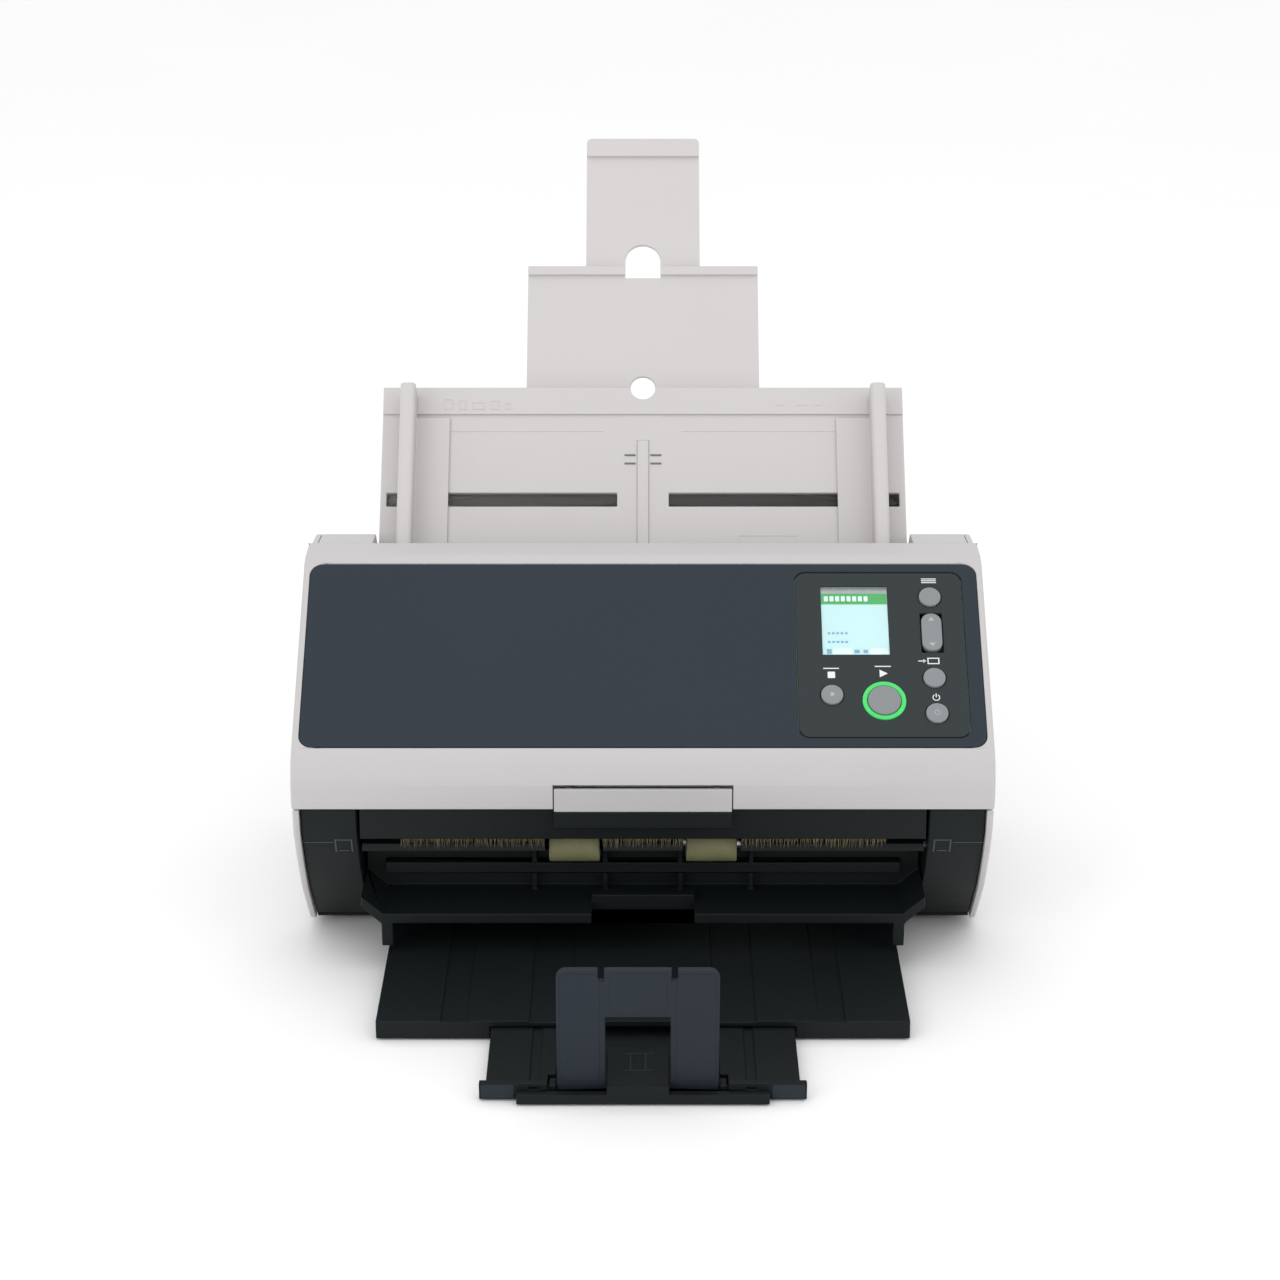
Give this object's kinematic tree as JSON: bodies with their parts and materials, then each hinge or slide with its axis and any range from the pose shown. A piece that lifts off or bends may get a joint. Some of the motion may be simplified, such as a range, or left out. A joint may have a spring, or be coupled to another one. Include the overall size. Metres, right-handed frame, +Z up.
{
  "type": "sheet fed document scanner",
  "caption": "Desktop sheet fed document scanner: sloping front with display and keys, leaning paper chute with coupled side guides, and a drawn-out output stacker with a folding stopper.",
  "frame": {"origin": "centre of the bounding box's footprint, on the desk", "axes": "+X to the right as seen from the front, +Y towards the back, +Z up"},
  "size_m": [0.3, 0.3951, 0.3121],
  "materials": {
    "shell": "fine moulded grain, light grey",
    "chute": "fine moulded grain, light grey",
    "dark": "dark moulded plastic",
    "tray": "dark moulded plastic, fine grain",
    "stop": "dark blue grey moulded plastic",
    "panel": "dark blue grey, semi gloss",
    "keybed": "dark grey, satin",
    "screen": "lit colour display under a clear pane",
    "green": "translucent green ring",
    "key": "grey moulded keys",
    "board": "green circuit board with black parts",
    "steel": "plain steel",
    "gear": "white acetal",
    "belt": "black timing belt",
    "roller": "dark rubber sleeve",
    "khaki": "olive rubber sleeve",
    "foot": "soft rubber",
    "glass": "clear strip glass"
  },
  "bodies": {
    "base": {"left_side_cover": "shell", "right_side_cover": "shell", "bottom_cover": "dark", "case_screws": "steel", "rubber_feet": "foot", "rear_cover": "shell", "mouth_cheeks": "dark", "chassis_plates": "steel", "lower_paper_guide": "dark", "lower_scan_unit": "dark", "lower_scan_glass": "glass", "exit_tray": "dark", "feed_motor": "steel", "drive_belts": "belt", "main_board": "board", "data_ports": "steel", "power_inlet": "dark", "paper_chute": "chute", "chute_back_cover": "chute"},
    "top_unit": {"top_cover": "shell", "front_panel": "panel", "operator_panel": "keybed", "screen_window": "screen", "screen_module": "steel", "scan_ring": "green", "key_board": "board", "upper_paper_guide": "dark", "upper_scan_unit": "dark", "upper_scan_glass": "glass", "brake_holder": "dark", "pinch_axles": "steel", "hinge_arms": "steel"},
    "latch": {"release_tab": "shell", "tab_grip": "dark", "latch_shaft": "steel"},
    "feed_drive": {"feed_shaft": "steel", "feed_rollers": "roller"},
    "pick_drive": {"pick_shaft": "steel", "pick_roller": "roller"},
    "exit_drive": {"eject_shaft": "steel", "eject_rollers": "khaki"},
    "motor_drive": {"motor_pulley": "gear"},
    "brake": {"brake_roller": "roller"},
    "feed_pinch": {"feed_idlers": "gear"},
    "exit_pinch": {"eject_idlers": "gear"},
    "guide_left": {"left_side_guide": "chute"},
    "guide_right": {"right_side_guide": "chute"},
    "pinion": {"guide_pinion": "gear"},
    "chute_slide": {"chute_extension": "chute"},
    "tip_slide": {"extension_tip": "chute"},
    "tray": {"stacker": "tray"},
    "tray_slide": {"stacker_extension": "tray"},
    "end": {"end_slide": "tray"},
    "stop": {"stopper": "stop"},
    "key_menu": {"menu_button": "key"},
    "key_feed_mode": {"feed_mode_button": "key"},
    "key_power": {"power_button": "key"},
    "key_stop": {"stop_button": "key"},
    "key_scan": {"scan_button": "key"},
    "key_select": {"select_rocker": "key"}
  },
  "joints": [
    {"name": "top_unit_hinge", "type": "hinge", "parent": "base", "child": "top_unit", "pos_m": [0, 0.0178, 0.154], "axis": [-1, 0, 0], "range_deg": [0, 50]},
    {"name": "release_tab_pivot", "type": "hinge", "parent": "top_unit", "child": "latch", "pos_m": [0, -0.0707, 0.084], "axis": [-1, 0, 0], "range_deg": [0, 9], "stiffness_Nm_per_rad": 0.3},
    {"name": "feed_shaft_turn", "type": "hinge", "parent": "base", "child": "feed_drive", "pos_m": [0, 0.01654, 0.10005], "axis": [1, 0, 0], "continuous": true},
    {"name": "pick_shaft_turn", "type": "hinge", "parent": "base", "child": "pick_drive", "pos_m": [0, 0.033, 0.11494], "axis": [1, 0, 0], "continuous": true},
    {"name": "eject_shaft_turn", "type": "hinge", "parent": "base", "child": "exit_drive", "pos_m": [0, -0.0587, 0.0518], "axis": [1, 0, 0], "continuous": true},
    {"name": "motor_pulley_turn", "type": "hinge", "parent": "base", "child": "motor_drive", "pos_m": [0, 0.0473, 0.048], "axis": [1, 0, 0], "continuous": true},
    {"name": "brake_roller_turn", "type": "hinge", "parent": "top_unit", "child": "brake", "pos_m": [0, 0.01673, 0.12876], "axis": [1, 0, 0], "continuous": true},
    {"name": "feed_idler_turn", "type": "hinge", "parent": "top_unit", "child": "feed_pinch", "pos_m": [0, 0.00637, 0.1087], "axis": [1, 0, 0], "continuous": true},
    {"name": "eject_idler_turn", "type": "hinge", "parent": "top_unit", "child": "exit_pinch", "pos_m": [0, -0.0587, 0.06515], "axis": [1, 0, 0], "continuous": true},
    {"name": "left_guide_slide", "type": "slide", "parent": "base", "child": "guide_left", "axis": [1, 0, 0], "range_m": [0, 0.075]},
    {"name": "right_guide_slide", "type": "slide", "parent": "base", "child": "guide_right", "axis": [-1, 0, 0], "range_m": [0, 0.075]},
    {"name": "guide_pinion_turn", "type": "hinge", "parent": "base", "child": "pinion", "pos_m": [0, 0.06838, 0.16663], "axis": [0, -0.7621, 0.6475], "continuous": true},
    {"name": "chute_extension_slide", "type": "slide", "parent": "base", "child": "chute_slide", "axis": [0, 0.6475, 0.7621], "range_m": [-0.059, 0]},
    {"name": "extension_tip_slide", "type": "slide", "parent": "chute_slide", "child": "tip_slide", "axis": [0, 0.6475, 0.7621], "range_m": [-0.058, 0]},
    {"name": "stacker_slide", "type": "slide", "parent": "base", "child": "tray", "axis": [0, 1, 0], "range_m": [0, 0.058]},
    {"name": "stacker_extension_slide", "type": "slide", "parent": "tray", "child": "tray_slide", "axis": [0, 1, 0], "range_m": [0, 0.044]},
    {"name": "end_slide_travel", "type": "slide", "parent": "tray_slide", "child": "end", "axis": [0, 1, 0], "range_m": [-0.045, 0]},
    {"name": "stopper_fold", "type": "hinge", "parent": "end", "child": "stop", "pos_m": [0, -0.1889, 0.0043], "axis": [-1, 0, 0], "range_deg": [0, 90]},
    {"name": "menu_press", "type": "slide", "parent": "top_unit", "child": "key_menu", "axis": [0, 0.6184, -0.7859], "range_m": [0, 0.0008], "stiffness_N_per_m": 900},
    {"name": "feed_mode_press", "type": "slide", "parent": "top_unit", "child": "key_feed_mode", "axis": [0, 0.6184, -0.7859], "range_m": [0, 0.0008], "stiffness_N_per_m": 900},
    {"name": "power_press", "type": "slide", "parent": "top_unit", "child": "key_power", "axis": [0, 0.6184, -0.7859], "range_m": [0, 0.0008], "stiffness_N_per_m": 900},
    {"name": "stop_press", "type": "slide", "parent": "top_unit", "child": "key_stop", "axis": [0, 0.6184, -0.7859], "range_m": [0, 0.0008], "stiffness_N_per_m": 900},
    {"name": "scan_press", "type": "slide", "parent": "top_unit", "child": "key_scan", "axis": [0, 0.6184, -0.7859], "range_m": [0, 0.0008], "stiffness_N_per_m": 900},
    {"name": "select_rock", "type": "hinge", "parent": "top_unit", "child": "key_select", "pos_m": [0.126, -0.02607, 0.13639], "axis": [1, 0, 0], "range_deg": [-3, 3], "stiffness_Nm_per_rad": 0.15}
  ],
  "couplings": [
    {"joint": "pick_shaft_turn", "follows": "feed_shaft_turn", "ratio": 0.66667},
    {"joint": "eject_shaft_turn", "follows": "feed_shaft_turn", "ratio": 1},
    {"joint": "motor_pulley_turn", "follows": "feed_shaft_turn", "ratio": 1.3333},
    {"joint": "right_guide_slide", "follows": "left_guide_slide", "ratio": 1},
    {"joint": "guide_pinion_turn", "follows": "left_guide_slide", "rad_per_m": -142.86}
  ]
}
